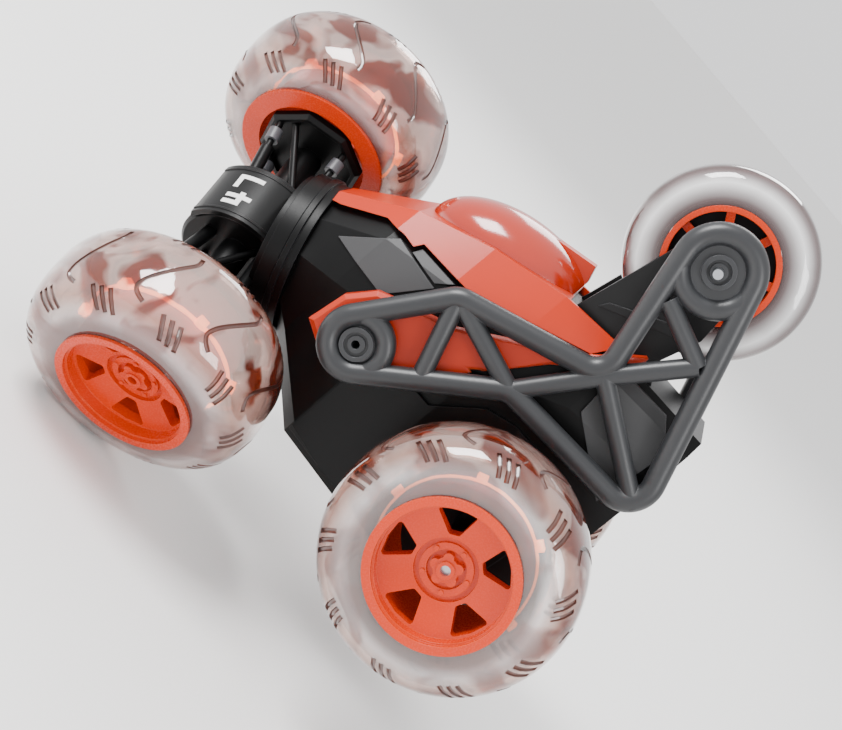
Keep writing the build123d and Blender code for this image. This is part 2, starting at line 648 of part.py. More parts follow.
def place_frame(frame):
    """The left side frame in the car, drilled for its pivot screw and for the tail axle."""
    placed = frame_plane(0).location * frame
    placed -= along_y(1.25, 0, 60, FRAME_FRONT[0], FRAME_FRONT[2])
    return placed - along_y(SHAFT, 0, 60, FRAME_HUB[0], FRAME_HUB[2])


def fork_bar(block):
    """Flat arm from the deck to the tail axle, with a spacer out to the side frame."""
    arm = side_plate(FORK, *FORK_Y) + along_y(11.3, *FORK_Y, FRAME_HUB[0], FRAME_HUB[2])
    arm += along_y(6.0, FORK_Y[1], FRAME_HUB[1], FRAME_HUB[0], FRAME_HUB[2]) - outside_frame()
    arm -= along_y(SHAFT, 0, 60, FRAME_HUB[0], FRAME_HUB[2])
    rib = side_plate(FORK_RIB, FORK_Y[1], FORK_Y[1] + 0.8)
    return (arm + rib) - block


def tail_tyre():
    """Hollow smooth tyre about Y."""
    def outline(inset):
        points = []
        for step in range(9):
            a = math.radians(-90 + 22.5 * step)
            width = (TAIL_HALF_WIDTH - inset) * math.sin(a)
            points.append((TAIL_RIM_RADIUS + (TAIL_RADIUS - inset - TAIL_RIM_RADIUS) * math.cos(a) ** 0.8
                           if abs(math.cos(a)) > 1e-6 else TAIL_RIM_RADIUS, width))
        return points
    outer, inner = outline(0), outline(1.8)
    edges = [
        Spline(*[(r, y, 0) for r, y in outer]),
        Line((*outer[-1], 0), (*inner[-1], 0)),
        Spline(*[(r, y, 0) for r, y in inner]),
        Line((*inner[0], 0), (*outer[0], 0)),
    ]
    return revolve(make_face(edges), Axis.Y)


def tail_rim():
    """Rim of the tail wheel: a plain barrel, a hub and seven thin spokes on each side."""
    barrel = turned([(TAIL_RIM_RADIUS - 1.8, -9.2), (TAIL_RIM_RADIUS, -9.2), (TAIL_RIM_RADIUS, 9.2),
                     (TAIL_RIM_RADIUS - 1.8, 9.2)])
    rim = barrel + along_y(5.0, -10.4, 10.4)
    for side in (1, -1):
        for spoke in range(TAIL_SPOKES):
            bar = Pos(10.5, side * 5.0, 0) * Box(12.4, 2.4, 2.6)
            rim += Rot(0, 360 * spoke / TAIL_SPOKES, 0) * bar
    return rim - along_y(SHAFT, -20, 20)


def tail_disc():
    """Disc that closes the tail rim between its two sets of spokes."""
    return along_y(TAIL_RIM_RADIUS - 1.8, -2.0, 2.0) - along_y(5.0, -5, 5)


# ---- build --------------------------------------------------------------------------------------
os.makedirs("parts", exist_ok=True)

block = body_block(0)
shell = top_shell(block)
tub = chassis_tub(block)
save("chassis_tub", tub)
save("top_shell", shell)
save("canopy", canopy(block) - shell)
save("collar_hoop", collar_hoop())
save("battery_cover", battery_cover())
save("battery_pack", battery_pack())
save("circuit_board", circuit_board())
save("charging_socket", charging_socket())
save("power_switch", power_switch())
save("body_screws", body_screw())

panel = lower_panel(block)
facets = facet_panels(block)
fairing = side_fairing(block)
frame = place_frame(side_frame())
fork = fork_bar(block)
drive = rear_motor()
for side in SIDES:
    save(f"lower_panel_{side}", on_side(panel, side))
    save(f"facet_panels_{side}", Compound(children=[on_side(facet, side) for facet in facets]))
    save(f"side_fairing_{side}", on_side(fairing, side))
    save(f"side_frame_{side}", on_side(frame, side))
    save(f"fork_bar_{side}", on_side(fork, side))
    save(f"rear_motor_{side}", on_side(drive, side))

twist_place = nose_frame * Pos(TWIST_MOTOR_S, 0, -GEAR_SPACING) * Rot(0, 90, 0)
save("twist_motor", twist_place * motor(MOTOR_LENGTH, MOTOR_SHAFT))
pinion = Rot(0, 0, 180 / PINION_TEETH) * gear(PINION_TEETH, GEAR_WIDTH + 0.6, 0.85)
save("twist_pinion", nose_frame * Pos(TWIST_GEAR_S - 0.3, 0, -GEAR_SPACING) * Rot(0, 90, 0) * pinion)
save("twist_spindle", nose_frame * twist_spindle())

housing = axle_housing()
save("axle_housing", module_frame * housing)
save("number_cover", module_frame * number_cover(housing))
left_knuckle = knuckle_plate()
left_struts = struts([housing, left_knuckle])
tips = strut_tips(left_struts, [housing, left_knuckle])
save("strut_tips", Compound(children=[module_frame * t for tip in tips for t in both_sides(tip)]))
for side in SIDES:
    save(f"knuckle_plate_{side}", module_frame * on_side(left_knuckle, side))
    save(f"struts_{side}", module_frame * on_side(left_struts, side))

tyre = road_tyre()
rim = road_rim()
cap = wheel_cap()
lights = light_ring()
at_wheel = Pos(0, WHEEL_Y, 0)
for end in ("front", "rear"):
    place = module_frame if end == "front" else Pos(REAR_X, 0, AXLE_HEIGHT)
    for side in SIDES:
        save(f"tyre_{end}_{side}", place * on_side(at_wheel * tyre, side))
        save(f"rim_{end}_{side}", place * on_side(at_wheel * rim, side))
        save(f"wheel_cap_{end}_{side}", place * on_side(at_wheel * cap, side))
        lit = [place * on_side(at_wheel * piece, side) for piece in lights]
        save(f"light_ring_{end}_{side}", Compound(children=lit))

for side, sign in (("left", 1), ("right", -1)):
    outer_end = sign * (WHEEL_Y + DISH_Y - 0.6)
    save(f"rear_axle_{side}", along_y(SHAFT, sign * 4.0, outer_end, REAR_X, AXLE_HEIGHT))
    face = Rot(-90 * sign, 0, 0)
    cog = gear(GEAR_TEETH, GEAR_WIDTH, SHAFT)
    save(f"rear_gear_{side}", Pos(REAR_X, sign * REAR_GEAR_Y, AXLE_HEIGHT) * face * cog)
    save(f"rear_pinion_{side}",
         Pos(REAR_X + GEAR_SPACING, sign * (REAR_GEAR_Y - 0.3), AXLE_HEIGHT) * face * pinion)

hub = Pos(FRAME_HUB[0], 0, FRAME_HUB[2])
save("tail_axle", along_y(SHAFT - FIT, -33.0, 33.0, FRAME_HUB[0], FRAME_HUB[2]))
save("tail_tyre", hub * tail_tyre())
save("tail_rim", hub * tail_rim())
save("tail_disc", hub * tail_disc())
print(len(PARTS), "nodes")
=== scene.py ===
# %% [markdown]
# # Rc stunt car
# The car is a remote-control toy: a faceted black and orange body, four clear balloon tyres lit from
# inside, a front axle module that twists, and a fifth wheel held high on two tube frames.
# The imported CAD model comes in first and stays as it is. What is made here is the finish of each
# surface, the detailed pieces that stand for plain CAD ones, and the studio around the car.

import json
import math

import bpy
from mathutils import Matrix, Quaternion, Vector


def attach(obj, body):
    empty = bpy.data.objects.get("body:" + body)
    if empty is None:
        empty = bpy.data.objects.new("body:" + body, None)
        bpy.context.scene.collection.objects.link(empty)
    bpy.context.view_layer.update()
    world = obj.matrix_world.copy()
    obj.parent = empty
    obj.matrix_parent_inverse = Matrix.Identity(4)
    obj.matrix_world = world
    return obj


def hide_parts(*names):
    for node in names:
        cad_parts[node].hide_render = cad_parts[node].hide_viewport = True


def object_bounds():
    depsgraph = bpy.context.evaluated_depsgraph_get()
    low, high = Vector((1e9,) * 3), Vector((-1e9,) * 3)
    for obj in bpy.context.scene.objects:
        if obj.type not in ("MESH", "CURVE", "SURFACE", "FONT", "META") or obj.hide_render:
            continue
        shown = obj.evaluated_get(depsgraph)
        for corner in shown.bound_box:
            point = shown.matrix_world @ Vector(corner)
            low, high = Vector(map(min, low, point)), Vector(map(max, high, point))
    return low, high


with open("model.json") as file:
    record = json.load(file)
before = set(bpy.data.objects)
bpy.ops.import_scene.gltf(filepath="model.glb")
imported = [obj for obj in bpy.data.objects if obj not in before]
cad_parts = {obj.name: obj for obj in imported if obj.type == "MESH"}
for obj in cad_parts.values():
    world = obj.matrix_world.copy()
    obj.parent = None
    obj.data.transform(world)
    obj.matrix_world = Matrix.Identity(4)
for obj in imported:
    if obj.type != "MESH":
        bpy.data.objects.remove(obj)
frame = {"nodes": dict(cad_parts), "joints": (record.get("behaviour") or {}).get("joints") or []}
cad_box = [list(corner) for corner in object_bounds()]
cad_nodes = frame["nodes"]
joints = {joint["name"]: joint for joint in frame["joints"]}
print("CAD box in metres:", cad_box)

# %% [markdown]
# A few small helpers serve every later cell. One turns an sRGB hex colour into the linear numbers that a
# shader needs, and one adds a shader node with its values and links in a single call. Selection is
# cleared often, because an operator acts on everything that is selected.

# %% Helpers
MM = 0.001
ENDS = ("front", "rear")
SIDES = ("left", "right")


def hex_colour(code):
    """Linear RGBA from an sRGB hex code such as 'ff8040'."""
    channels = [int(code[i:i + 2], 16) / 255 for i in (0, 2, 4)]
    linear = [c / 12.92 if c <= 0.04045 else ((c + 0.055) / 1.055) ** 2.4 for c in channels]
    return (*linear, 1.0)


def add_node(tree, kind, values=None, **settings):
    """A node with its settings; values maps a socket's name or number to a value or a socket."""
    node = tree.nodes.new(kind)
    for name, setting in settings.items():
        setattr(node, name, setting)
    for socket, value in (values or {}).items():
        if isinstance(value, bpy.types.NodeSocket):
            tree.links.new(value, node.inputs[socket])
        else:
            node.inputs[socket].default_value = value
    return node


def empty_material(name):
    """A material with an empty node tree, and that tree."""
    material = bpy.data.materials.new(name)
    material.use_nodes = True
    material.node_tree.nodes.clear()
    return material, material.node_tree


def clear_selection():
    """Back to object mode with nothing selected."""
    if bpy.context.object and bpy.context.object.mode != "OBJECT":
        bpy.ops.object.mode_set(mode="OBJECT")
    bpy.ops.object.select_all(action="DESELECT")


def only(piece):
    """Select one object and make it the active one."""
    clear_selection()
    piece.select_set(True)
    bpy.context.view_layer.objects.active = piece
    return piece


def each_side(*stems):
    """The left and right names of each stem."""
    return [f"{stem}_{side}" for stem in stems for side in SIDES]


def each_wheel(*stems):
    """The four wheels' names of each stem."""
    return [f"{stem}_{end}_{side}" for stem in stems for end in ENDS for side in SIDES]


# %% [markdown]
# ## Camera, floor and light
# The car is shown with its nose up and to the left, as if it were held level and the viewer leaned over.
# So the camera looks almost straight at the left flank, a little down, and is rolled about its own axis.
# The long lens keeps the perspective weak. The floor lies just under the lowest tyre. Large soft lights
# and an even pale sky give the broad white reflections that glossy plastic and clear tyres need.

# %% Camera
CAMERA_PLACE = Vector((0.0010, 0.4824, 0.1665))
CAMERA_AIM = Vector((0.0131, -0.9670, -0.2546)).normalized()
CAMERA_UP = Vector((0.7639, -0.1546, 0.6265))
LENS = 68.8
SENSOR = 36.0
NEAREST = 0.01                # nothing closer than this is drawn

level = CAMERA_AIM.to_track_quat("-Z", "Y")
level_up = level @ Vector((0, 1, 0))
roll = math.atan2(CAMERA_AIM.dot(level_up.cross(CAMERA_UP)), level_up.dot(CAMERA_UP))
camera_data = bpy.data.cameras.new("studio_camera")
camera_data.lens = LENS
camera_data.sensor_width = SENSOR
camera_data.sensor_fit = "HORIZONTAL"
camera_data.clip_start = NEAREST
camera = bpy.data.objects.new("studio_camera", camera_data)
bpy.context.scene.collection.objects.link(camera)
camera.rotation_mode = "QUATERNION"
camera.rotation_quaternion = level @ Quaternion((0, 0, 1), -roll)
camera.location = CAMERA_PLACE
bpy.context.scene.camera = camera
print("camera rolled by", round(math.degrees(roll), 1), "degrees")

# %% Floor and light
FLOOR_SIZE = 60.0
FLOOR_GAP = 0.2 * MM
FIBRE_SCALE = 900.0           # paper fibre about a millimetre across
SKY_STRENGTH = 1.4

clear_selection()
bpy.ops.mesh.primitive_plane_add(size=FLOOR_SIZE, location=(0, 0, cad_box[0][2] - FLOOR_GAP))
floor = bpy.context.object
floor.name = "studio_floor"
floor_paint, tree = empty_material("matt_pale_studio_paper")
fibre = add_node(tree, "ShaderNodeTexNoise", {
    "Vector": add_node(tree, "ShaderNodeTexCoord").outputs["Object"], "Scale": FIBRE_SCALE})
fleck = add_node(tree, "ShaderNodeMix", {
    0: fibre.outputs["Fac"], 6: hex_colour("f1f0ee"), 7: hex_colour("f6f5f4")}, data_type="RGBA")
paper = add_node(tree, "ShaderNodeBsdfPrincipled", {
    "Base Color": fleck.outputs[2], "Roughness": 0.95})
add_node(tree, "ShaderNodeOutputMaterial", {"Surface": paper.outputs[0]})
floor.data.materials.append(floor_paint)

world = bpy.data.worlds.new("pale_sky")
bpy.context.scene.world = world
world.use_nodes = True
sky = world.node_tree.nodes["Background"]
sky.inputs["Color"].default_value = hex_colour("fbfbfc")
sky.inputs["Strength"].default_value = SKY_STRENGTH

CENTRE = (Vector(cad_box[0]) + Vector(cad_box[1])) / 2
SOFT_BOXES = [                # name, direction from the car, distance, size, power in watts
    ("key_box", (0.75, 0.35, 0.80), 0.9, 0.36, 14.0),
    ("side_box", (-0.75, 0.80, 0.45), 1.1, 0.40, 5.0),
    ("back_box", (0.10, -0.90, 0.70), 1.1, 0.50, 8.0),
]
for name, direction, distance, size, power in SOFT_BOXES:
    lamp_data = bpy.data.lights.new(name, "AREA")
    lamp_data.size = size
    lamp_data.energy = power
    lamp = bpy.data.objects.new(name, lamp_data)
    bpy.context.scene.collection.objects.link(lamp)
    way = Vector(direction).normalized()
    lamp.location = CENTRE + way * distance
    lamp.rotation_euler = (-way).to_track_quat("-Z", "Y").to_euler()
print(len(SOFT_BOXES), "soft boxes")

# %% [markdown]
# ## Moulded plastic
# Most of the car is injection-moulded ABS. The steel mould is spark-eroded to a fine grain, so the gloss
# breaks up a little, and the edges are rubbed paler by handling. One function builds this finish: a slow
# noise lets the colour drift, a fine noise works the gloss and the bump, and a bevel node rounds the
# CAD's hard edges by a fraction of a millimetre and finds them, so that they can be made paler.

# %% Moulded plastic
ABS_IOR = 1.54
CLOUD_SCALE = 38.0            # the colour drifts over about 25 mm
GLOSS_LOW, GLOSS_HIGH = -0.05, 0.07        # how far the grain moves the roughness either way
EDGE_STARTS, EDGE_FULL = 0.99, 0.80        # cosine between the rounded and the flat normal
EDGE_PALING = 0.55            # share of the worn colour on a full edge
GRAIN_STRENGTH = 0.6


def moulded_plastic(name, colour, drift, worn, rough, grain_mm=0.5, depth_mm=0.012, coat=0.0,
                    edge_mm=0.35, specular=0.5, painted_glow=0.0):
    """Grained moulded plastic; colour, drift and worn are hex codes for face, clouding and edges."""
    material, tree = empty_material(name)
    place = add_node(tree, "ShaderNodeTexCoord").outputs["Object"]
    cloud = add_node(tree, "ShaderNodeTexNoise", {
        "Vector": place, "Scale": CLOUD_SCALE, "Detail": 3.0})
    grain = add_node(tree, "ShaderNodeTexNoise", {
        "Vector": place, "Scale": 1 / (grain_mm * MM), "Detail": 3.0})
    face = add_node(tree, "ShaderNodeMix", {
        0: cloud.outputs["Fac"], 6: hex_colour(colour), 7: hex_colour(drift)}, data_type="RGBA")
    rounded = add_node(tree, "ShaderNodeBevel", {"Radius": edge_mm * MM}, samples=4)
    flat = add_node(tree, "ShaderNodeNewGeometry").outputs["Normal"]
    same = add_node(tree, "ShaderNodeVectorMath", {
        0: rounded.outputs[0], 1: flat}, operation="DOT_PRODUCT")
    edge = add_node(tree, "ShaderNodeMapRange", {
        "Value": same.outputs["Value"], "From Min": EDGE_STARTS, "From Max": EDGE_FULL,
        "To Min": 0.0, "To Max": EDGE_PALING})
    colour_out = add_node(tree, "ShaderNodeMix", {
        0: edge.outputs[0], 6: face.outputs[2], 7: hex_colour(worn)}, data_type="RGBA")
    gloss = add_node(tree, "ShaderNodeMapRange", {
        "Value": grain.outputs["Fac"], "To Min": rough + GLOSS_LOW, "To Max": rough + GLOSS_HIGH})
    bump = add_node(tree, "ShaderNodeBump", {
        "Height": grain.outputs["Fac"], "Distance": depth_mm * MM, "Strength": GRAIN_STRENGTH,
        "Normal": rounded.outputs[0]})
    shader = add_node(tree, "ShaderNodeBsdfPrincipled", {
        "Base Color": colour_out.outputs[2], "Roughness": gloss.outputs[0], "Normal": bump.outputs[0],
        "IOR": ABS_IOR, "Specular IOR Level": specular, "Coat Weight": coat, "Coat Roughness": 0.12})
    # painted glow: the surface colour is also emitted, standing in for lamp light shining through the
    # plastic
    if painted_glow:
        tree.links.new(colour_out.outputs[2], shader.inputs["Emission Color"])
        shader.inputs["Emission Strength"].default_value = painted_glow
    add_node(tree, "ShaderNodeOutputMaterial", {"Surface": shader.outputs[0]})
    return material


def wear(material, *names):
    """Give CAD nodes one material all over."""
    for name in names:
        mesh = cad_nodes[name].data
        mesh.materials.clear()
        mesh.materials.append(material)


# %% Body plastics
# Black ABS, spark-eroded mould: a satin black that goes dark grey where it faces a light.
black_abs = moulded_plastic("black_abs_spark_eroded", "040404", "080809", "26262a", 0.38,
                            specular=0.15)
# Grey ABS inserts, snapped into the flank: the same grain in a flat mid grey.
grey_abs = moulded_plastic("grey_abs_insert_moulded", "3e3e3f", "373738", "5f5f62", 0.45,
                           specular=0.3)
# Orange ABS, polished mould with a clear coat: a warm satin gloss.
orange_abs = moulded_plastic("orange_abs_polished_mould", "b82a02", "aa2402", "dc5a30", 0.32,
                             coat=0.06, specular=0.25)
# The rims' orange is brighter, in a softer plastic. A little painted glow in its own colour stands in
# for the lamps' light shining through it.
rim_abs = moulded_plastic("orange_abs_rim_gloss_moulded", "c83202", "bc2c02", "e2602a", 0.26,
                          coat=0.08, specular=0.25, painted_glow=0.10)
# Dark grey ABS tubes of the side frames: fine satin texture.
frame_abs = moulded_plastic("grey_abs_tube_satin_moulded", "2b2c2e", "252628", "55565a", 0.36,
                            grain_mm=0.7, specular=0.4)
# Fork plates: near-black ABS with a slight gloss.
fork_abs = moulded_plastic("charcoal_abs_plate_moulded", "111112", "0c0c0d", "343437", 0.40,
                           specular=0.25)
# Number cover: smoother black with a thin coat, so it catches the light along its crown.
cover_abs = moulded_plastic("black_abs_cover_polished", "050505", "080809", "2a2a2c", 0.30,
                            coat=0.12, specular=0.25)
# Grey sleeves on the dampers, lighter than the parts round them.
tip_abs = moulded_plastic("pale_grey_abs_sleeve_moulded", "4c4c50", "424246", "7a7a7e", 0.40)
# Canopy: tinted polycarbonate over the orange shell, glossy and a little deeper in colour.
canopy_pc = moulded_plastic("tinted_polycarbonate_canopy_polished", "a82405", "9a1f04", "cc4a24",
                            0.14, depth_mm=0.004, coat=0.6)
# Black nylon, for the switch and the socket: duller than ABS.
black_nylon = moulded_plastic("black_nylon_moulded", "0b0b0c", "101011", "2a2a2c", 0.55,
                              grain_mm=0.35, specular=0.3)
# White acetal gears: slick, slightly milky.
white_acetal = moulded_plastic("white_acetal_gear_moulded", "e9e6dc", "dedacd", "f6f4ee", 0.30,
                               edge_mm=0.1)

wear(black_abs, "chassis_tub", "collar_hoop", "battery_cover", "axle_housing", "tail_disc",
     *each_side("lower_panel", "knuckle_plate", "struts"))
wear(grey_abs, *each_side("facet_panels"))
wear(orange_abs, "top_shell", *each_side("side_fairing"))
wear(rim_abs, "tail_rim", *each_wheel("rim", "wheel_cap"))
wear(frame_abs, *each_side("side_frame"))
wear(fork_abs, *each_side("fork_bar"))
wear(cover_abs, "number_cover")
wear(tip_abs, "strut_tips")
wear(canopy_pc, "canopy")
wear(black_nylon, "power_switch", "charging_socket")
wear(white_acetal, "twist_pinion", "twist_spindle", *each_side("rear_gear", "rear_pinion"))

# %% [markdown]
# ## Metal, board and battery
# The axles are steel rod turned on a lathe, which leaves fine rings round the rod. The motor cans are
# drawn steel with nickel plating. The board is green glass-epoxy with tinned tracks, and the battery is
# wrapped in shrink sleeve. All of them hide inside, and show only through gaps and at the shaft ends.

# %% Metal finishes
BAND_PITCH = 0.31             # a wave texture of scale 1 repeats over this length
GLOSS_SPREAD = 0.12


def turned_metal(name, colour, worn, rough, ring_mm, along):
    """Metal with fine rings across the given axis ('X', 'Y' or 'Z')."""
    material, tree = empty_material(name)
    place = add_node(tree, "ShaderNodeTexCoord").outputs["Object"]
    rings = add_node(tree, "ShaderNodeTexWave", {
        "Vector": place, "Scale": BAND_PITCH / (ring_mm * MM), "Distortion": 1.5,
        "Detail": 2.0}, wave_type="BANDS", bands_direction=along)
    cloud = add_node(tree, "ShaderNodeTexNoise", {"Vector": place, "Scale": 120.0})
    tone = add_node(tree, "ShaderNodeMix", {
        0: cloud.outputs["Fac"], 6: hex_colour(colour), 7: hex_colour(worn)}, data_type="RGBA")
    gloss = add_node(tree, "ShaderNodeMapRange", {
        "Value": rings.outputs["Fac"], "To Min": rough, "To Max": rough + GLOSS_SPREAD})
    bump = add_node(tree, "ShaderNodeBump", {
        "Height": rings.outputs["Fac"], "Distance": 0.01 * MM, "Strength": 0.5})
    shader = add_node(tree, "ShaderNodeBsdfPrincipled", {
        "Base Color": tone.outputs[2], "Roughness": gloss.outputs[0], "Normal": bump.outputs[0],
        "Metallic": 1.0})
    add_node(tree, "ShaderNodeOutputMaterial", {"Surface": shader.outputs[0]})
    return material


axle_steel = turned_metal("axle_steel_turned", "b9bcc0", "a8abb0", 0.25, 0.4, "Y")
can_nickel = turned_metal("motor_can_nickel_plated", "c9c8c2", "bab8b1", 0.22, 0.8, "Y")
wear(axle_steel, "tail_axle", "body_screws", *each_side("rear_axle"))
wear(can_nickel, "twist_motor", *each_side("rear_motor"))

# %% Board, battery and lamp finishes
LAMP_STRENGTH = 6.0

# Green glass-epoxy with solder mask: tracks show as paler lines on a squared pitch.
board_epoxy, tree = empty_material("green_glass_epoxy_solder_masked")
place = add_node(tree, "ShaderNodeTexCoord").outputs["Object"]
tracks = add_node(tree, "ShaderNodeTexBrick", {
    "Vector": place, "Color1": hex_colour("1d6b3c"), "Color2": hex_colour("1a5f35"),
    "Mortar": hex_colour("6fae7d"), "Scale": 160.0, "Mortar Size": 0.012})
shader = add_node(tree, "ShaderNodeBsdfPrincipled", {
    "Base Color": tracks.outputs[0], "Roughness": 0.3})
add_node(tree, "ShaderNodeOutputMaterial", {"Surface": shader.outputs[0]})
wear(board_epoxy, "circuit_board")

# Blue shrink sleeve round the cells: glossy film with slight wrinkles.
sleeve_film, tree = empty_material("blue_shrink_sleeve_film")
place = add_node(tree, "ShaderNodeTexCoord").outputs["Object"]
wrinkle = add_node(tree, "ShaderNodeTexNoise", {"Vector": place, "Scale": 260.0, "Distortion": 1.2})
tone = add_node(tree, "ShaderNodeMix", {
    0: wrinkle.outputs["Fac"], 6: hex_colour("1f4f9a"), 7: hex_colour("285fb0")}, data_type="RGBA")
bump = add_node(tree, "ShaderNodeBump", {
    "Height": wrinkle.outputs["Fac"], "Distance": 0.2 * MM, "Strength": 0.4})
shader = add_node(tree, "ShaderNodeBsdfPrincipled", {
    "Base Color": tone.outputs[2], "Roughness": 0.22, "Normal": bump.outputs[0]})
add_node(tree, "ShaderNodeOutputMaterial", {"Surface": shader.outputs[0]})
wear(sleeve_film, "battery_pack")

# Lamps behind a warm diffuser on the wheel's ring board: the light that the tyres carry.
lamp_glow, tree = empty_material("warm_lamp_diffuser_moulded")
place = add_node(tree, "ShaderNodeTexCoord").outputs["Object"]
mottle = add_node(tree, "ShaderNodeTexNoise", {"Vector": place, "Scale": 400.0})
tone = add_node(tree, "ShaderNodeMix", {
    0: mottle.outputs["Fac"], 6: hex_colour("ff7a3a"), 7: hex_colour("ff9a5c")}, data_type="RGBA")
shader = add_node(tree, "ShaderNodeBsdfPrincipled", {
    "Base Color": tone.outputs[2], "Emission Color": tone.outputs[2],
    "Emission Strength": LAMP_STRENGTH, "Roughness": 0.5})
add_node(tree, "ShaderNodeOutputMaterial", {"Surface": shader.outputs[0]})
wear(lamp_glow, *each_wheel("light_ring"))
print(len(bpy.data.materials), "materials so far")

# %% [markdown]
# ## Clear tyre plastic
# The tyres are blow-moulded from clear soft PVC. It is never quite clear: the wall is milky, it picks up
# the orange of the rim and the warm lamps, and its outside is polished enough to mirror every light. So
# it is a plastic that lets light through, under a glossy coat. Its colour is graded from bead to crown:
# partly its tint, and partly painted light, a painted white highlight band round the wall and painted
# shade that darkens it towards the bead.
# Where the eye looks along the wall the light passes through more plastic, so the tint deepens to a
# reddish brown; a facing term does that, and slow swirls on the tread do the same.

# %% Clear PVC
PVC_IOR = 1.45
FLOW_SCALE = 34.0             # swirls about 30 mm across
SWIRL_STARTS, SWIRL_FULL = 0.48, 0.57
WALL_BLEND, WALL_POWER = 0.40, 1.5
RIPPLE_MM = 0.8


def clear_pvc_finish(name, tint_and_light_grades, deep, rough, through, swirl_amount):
    """Clear PVC; tint_and_light_grades pairs a place from bead (0) to crown (1) with a hex code, a tint
    with painted highlight and painted shade in it; deep is its tint.
    """
    material, tree = empty_material(name)
    place = add_node(tree, "ShaderNodeTexCoord").outputs["Object"]
    section = add_node(tree, "ShaderNodeAttribute", attribute_name="section").outputs["Fac"]
    ramp = add_node(tree, "ShaderNodeValToRGB", {"Fac": section})
    stops = ramp.color_ramp.elements
    stops[0].color, stops[1].color = hex_colour(tint_and_light_grades[0][1]), hex_colour(tint_and_light_grades[-1][1])
    stops[0].position, stops[1].position = tint_and_light_grades[0][0], tint_and_light_grades[-1][0]
    for position, code in tint_and_light_grades[1:-1]:
        stops.new(position).color = hex_colour(code)
    flow = add_node(tree, "ShaderNodeTexNoise", {
        "Vector": place, "Scale": FLOW_SCALE, "Detail": 2.0, "Distortion": 1.8})
    facing = add_node(tree, "ShaderNodeLayerWeight", {"Blend": WALL_BLEND})
    along_wall = add_node(tree, "ShaderNodeMath", {
        0: facing.outputs["Facing"], 1: WALL_POWER}, operation="POWER")
    swirl = add_node(tree, "ShaderNodeMapRange", {
        "Value": flow.outputs["Fac"], "From Min": SWIRL_STARTS, "From Max": SWIRL_FULL,
        "To Max": swirl_amount})
    on_tread = add_node(tree, "ShaderNodeMath", {0: swirl.outputs[0], 1: section}, operation="MULTIPLY")
    total = add_node(tree, "ShaderNodeMath", {0: along_wall.outputs[0], 1: on_tread.outputs[0]},
                     operation="ADD", use_clamp=True)
    tone = add_node(tree, "ShaderNodeMix", {
        0: total.outputs[0], 6: ramp.outputs[0], 7: hex_colour(deep)}, data_type="RGBA")
    ripple = add_node(tree, "ShaderNodeBump", {
        "Height": flow.outputs["Fac"], "Distance": RIPPLE_MM * MM, "Strength": 0.4})
    shader = add_node(tree, "ShaderNodeBsdfPrincipled", {
        "Base Color": tone.outputs[2], "Roughness": rough, "IOR": PVC_IOR,
        "Transmission Weight": through, "Coat Weight": 1.0, "Coat Roughness": 0.03,
        "Normal": ripple.outputs[0], "Coat Normal": ripple.outputs[0]})
    add_node(tree, "ShaderNodeOutputMaterial", {"Surface": shader.outputs[0]})
    return material


def grade_section(piece, bead, crown):
    """Store each point's place between bead and crown radius, in millimetres, about the Y axis."""
    values = [(math.hypot(v.co.x, v.co.z) / MM - bead) / (crown - bead) for v in piece.data.vertices]
    layer = piece.data.attributes.new("section", "FLOAT", "POINT")
    layer.data.foreach_set("value", [min(1.0, max(0.0, value)) for value in values])


# painted light in these stops: the white ones paint a highlight band on the wall, the dark bead stop
# paints shade
TYRE_TINT_AND_PAINTED_LIGHT = [(0.0, "6f6a6a"), (0.26, "a39a98"), (0.44, "ffffff"), (0.56, "fdf6f2"),
               (0.76, "dcb4a2"), (1.0, "f2dcd2")]
# the grooves' faces are painted a flat dark reddish brown: painted shade in the cuts, on a rougher surface
GROOVE_PAINTED_SHADE = [(0.0, "6a4238"), (1.0, "6a4238")]
# the tail tyre's white middle is a painted highlight, and its dark ends at the bead and near the crown are
# painted shade
TAIL_TINT_AND_PAINTED_LIGHT = [(0.0, "3c1412"), (0.16, "6e5c5c"), (0.34, "b4aeae"), (0.58, "ffffff"),
               (0.80, "9c9292"), (0.93, "54302e")]
tyre_pvc = clear_pvc_finish("clear_pvc_tyre_blow_moulded", TYRE_TINT_AND_PAINTED_LIGHT, "84341c",
                            rough=0.07, through=0.74, swirl_amount=1.0)
groove_pvc = clear_pvc_finish("clear_pvc_groove_frosted_painted_shade", GROOVE_PAINTED_SHADE, "3c1c14",
                              rough=0.35, through=0.3, swirl_amount=0.5)
tail_pvc = clear_pvc_finish("clear_pvc_tail_tyre_moulded", TAIL_TINT_AND_PAINTED_LIGHT, "2c0c0a",
                            rough=0.08, through=0.35, swirl_amount=0.1)

# %% [markdown]
# ## Balloon tyres
# A tyre is a hollow ring with a round crown, square shoulders and two beads that grip the rim. Its
# outline is drawn once as a closed loop, wall thickness and all, and spun about the axle. Groups of three
# short slanted notches are cut into each shoulder, and curved grooves run across the tread between
# them. Cutting them with real tubes, instead of a bump, keeps them in the outline and in the reflections.

# %% Tyre outline
CROWN, HALF_WIDTH, WALL = 38.0, 17.4, 2.0
SIDE_RADIUS = 24.5            # where the sidewall meets the bead
BEAD_OUT, BEAD_IN = 21.1, 22.1
WHEEL_Y = 57.5
FULLNESS = 0.75               # under 1 makes the section squarer than an ellipse
OUTLINE_STEPS = 34
TYRE_TURNS, TAIL_TURNS = 144, 128
WELD = 0.01 * MM
SMOOTH_UNDER = math.radians(40)


def section_point(angle, crown, half, side):
    """Radius and width of the tyre's section at an angle from the crown, from -90 to 90 degrees."""
    cos, sin = abs(math.cos(angle)), math.sin(angle)
    return side + (crown - side) * cos ** FULLNESS, half * math.copysign(abs(sin) ** FULLNESS, sin)


